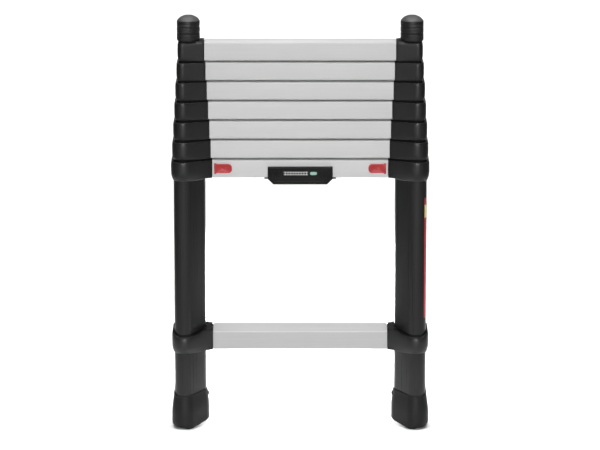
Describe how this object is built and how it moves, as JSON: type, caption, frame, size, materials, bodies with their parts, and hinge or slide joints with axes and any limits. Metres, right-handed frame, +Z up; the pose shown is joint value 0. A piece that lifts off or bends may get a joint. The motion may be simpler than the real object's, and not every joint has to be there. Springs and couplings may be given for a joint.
{
  "type": "telescoping ladder",
  "caption": "Closed telescoping ladder: stacked aluminium rungs on nested black rails that slide up one out of another, with red release buttons, a carry handle and rubber feet.",
  "frame": {"origin": "on the floor, midway between the two feet", "axes": "+Z up along the rails, +X along the rungs to the right, front faces -Y"},
  "size_m": [0.4342, 0.0916, 0.701],
  "materials": {
    "rail_anodised": "black anodised, satin, faint lengthwise extrusion lines",
    "collar_plastic": "black moulded plastic with a fine even grain",
    "rung_aluminium": "clear anodised aluminium, satin, fine lines along its length",
    "cap_plastic": "black ribbed soft plastic",
    "foot_rubber": "black rubber, matt, lightly scuffed at the sole",
    "button_red": "red moulded plastic, satin, with a shallow thumb hollow",
    "handle_plastic": "black moulded plastic, satin",
    "badge_print": "black plate with a plain printed pattern of bars",
    "pin_steel": "zinc plated steel, turned"
  },
  "bodies": {
    "base": {"rail_left_7": "rail_anodised", "rail_right_7": "rail_anodised", "collar_left_7": "collar_plastic", "collar_right_7": "collar_plastic", "collar_left_8": "collar_plastic", "collar_right_8": "collar_plastic", "rung_7": "rung_aluminium", "rung_8": "rung_aluminium", "foot_left": "foot_rubber", "foot_right": "foot_rubber", "carry_handle": "handle_plastic", "badge_plate": "badge_print", "release_spring_left": "pin_steel", "release_spring_right": "pin_steel"},
    "section_6": {"rail_left_6": "rail_anodised", "rail_right_6": "rail_anodised", "collar_left_6": "collar_plastic", "collar_right_6": "collar_plastic", "rung_6": "rung_aluminium"},
    "section_5": {"rail_left_5": "rail_anodised", "rail_right_5": "rail_anodised", "collar_left_5": "collar_plastic", "collar_right_5": "collar_plastic", "rung_5": "rung_aluminium"},
    "section_4": {"rail_left_4": "rail_anodised", "rail_right_4": "rail_anodised", "collar_left_4": "collar_plastic", "collar_right_4": "collar_plastic", "rung_4": "rung_aluminium"},
    "section_3": {"rail_left_3": "rail_anodised", "rail_right_3": "rail_anodised", "collar_left_3": "collar_plastic", "collar_right_3": "collar_plastic", "rung_3": "rung_aluminium"},
    "section_2": {"rail_left_2": "rail_anodised", "rail_right_2": "rail_anodised", "collar_left_2": "collar_plastic", "collar_right_2": "collar_plastic", "rung_2": "rung_aluminium"},
    "section_1": {"rail_left_1": "rail_anodised", "rail_right_1": "rail_anodised", "collar_left_1": "collar_plastic", "collar_right_1": "collar_plastic", "rung_1": "rung_aluminium", "top_cap_left": "cap_plastic", "top_cap_right": "cap_plastic"},
    "release_left": {"release_button_left": "button_red", "lock_pin_left_7": "pin_steel"},
    "release_right": {"release_button_right": "button_red", "lock_pin_right_7": "pin_steel"},
    "pin_left_6": {"lock_pin_left_6": "pin_steel"},
    "pin_right_6": {"lock_pin_right_6": "pin_steel"},
    "pin_left_5": {"lock_pin_left_5": "pin_steel"},
    "pin_right_5": {"lock_pin_right_5": "pin_steel"},
    "pin_left_4": {"lock_pin_left_4": "pin_steel"},
    "pin_right_4": {"lock_pin_right_4": "pin_steel"},
    "pin_left_3": {"lock_pin_left_3": "pin_steel"},
    "pin_right_3": {"lock_pin_right_3": "pin_steel"},
    "pin_left_2": {"lock_pin_left_2": "pin_steel"},
    "pin_right_2": {"lock_pin_right_2": "pin_steel"}
  },
  "joints": [
    {"name": "slide_6", "type": "slide", "parent": "base", "child": "section_6", "axis": [0, 0, 1], "range_m": [0, 0.262]},
    {"name": "slide_5", "type": "slide", "parent": "section_6", "child": "section_5", "axis": [0, 0, 1], "range_m": [0, 0.262]},
    {"name": "slide_4", "type": "slide", "parent": "section_5", "child": "section_4", "axis": [0, 0, 1], "range_m": [0, 0.262]},
    {"name": "slide_3", "type": "slide", "parent": "section_4", "child": "section_3", "axis": [0, 0, 1], "range_m": [0, 0.262]},
    {"name": "slide_2", "type": "slide", "parent": "section_3", "child": "section_2", "axis": [0, 0, 1], "range_m": [0, 0.262]},
    {"name": "slide_1", "type": "slide", "parent": "section_2", "child": "section_1", "axis": [0, 0, 1], "range_m": [0, 0.262]},
    {"name": "release_left_slide", "type": "slide", "parent": "base", "child": "release_left", "axis": [1, 0, 0], "range_m": [0, 0.012], "stiffness_N_per_m": 500, "springref_m": -0.004, "deforming": ["release_spring_left"]},
    {"name": "release_right_slide", "type": "slide", "parent": "base", "child": "release_right", "axis": [-1, 0, 0], "range_m": [0, 0.012], "stiffness_N_per_m": 500, "springref_m": -0.004, "deforming": ["release_spring_right"]},
    {"name": "pin_left_6_slide", "type": "slide", "parent": "section_6", "child": "pin_left_6", "axis": [1, 0, 0], "range_m": [0, 0.0045], "stiffness_N_per_m": 400, "springref_m": -0.003},
    {"name": "pin_right_6_slide", "type": "slide", "parent": "section_6", "child": "pin_right_6", "axis": [-1, 0, 0], "range_m": [0, 0.0045], "stiffness_N_per_m": 400, "springref_m": -0.003},
    {"name": "pin_left_5_slide", "type": "slide", "parent": "section_5", "child": "pin_left_5", "axis": [1, 0, 0], "range_m": [0, 0.0045], "stiffness_N_per_m": 400, "springref_m": -0.003},
    {"name": "pin_right_5_slide", "type": "slide", "parent": "section_5", "child": "pin_right_5", "axis": [-1, 0, 0], "range_m": [0, 0.0045], "stiffness_N_per_m": 400, "springref_m": -0.003},
    {"name": "pin_left_4_slide", "type": "slide", "parent": "section_4", "child": "pin_left_4", "axis": [1, 0, 0], "range_m": [0, 0.0045], "stiffness_N_per_m": 400, "springref_m": -0.003},
    {"name": "pin_right_4_slide", "type": "slide", "parent": "section_4", "child": "pin_right_4", "axis": [-1, 0, 0], "range_m": [0, 0.0045], "stiffness_N_per_m": 400, "springref_m": -0.003},
    {"name": "pin_left_3_slide", "type": "slide", "parent": "section_3", "child": "pin_left_3", "axis": [1, 0, 0], "range_m": [0, 0.0045], "stiffness_N_per_m": 400, "springref_m": -0.003},
    {"name": "pin_right_3_slide", "type": "slide", "parent": "section_3", "child": "pin_right_3", "axis": [-1, 0, 0], "range_m": [0, 0.0045], "stiffness_N_per_m": 400, "springref_m": -0.003},
    {"name": "pin_left_2_slide", "type": "slide", "parent": "section_2", "child": "pin_left_2", "axis": [1, 0, 0], "range_m": [0, 0.0045], "stiffness_N_per_m": 400, "springref_m": -0.003},
    {"name": "pin_right_2_slide", "type": "slide", "parent": "section_2", "child": "pin_right_2", "axis": [-1, 0, 0], "range_m": [0, 0.0045], "stiffness_N_per_m": 400, "springref_m": -0.003}
  ]
}
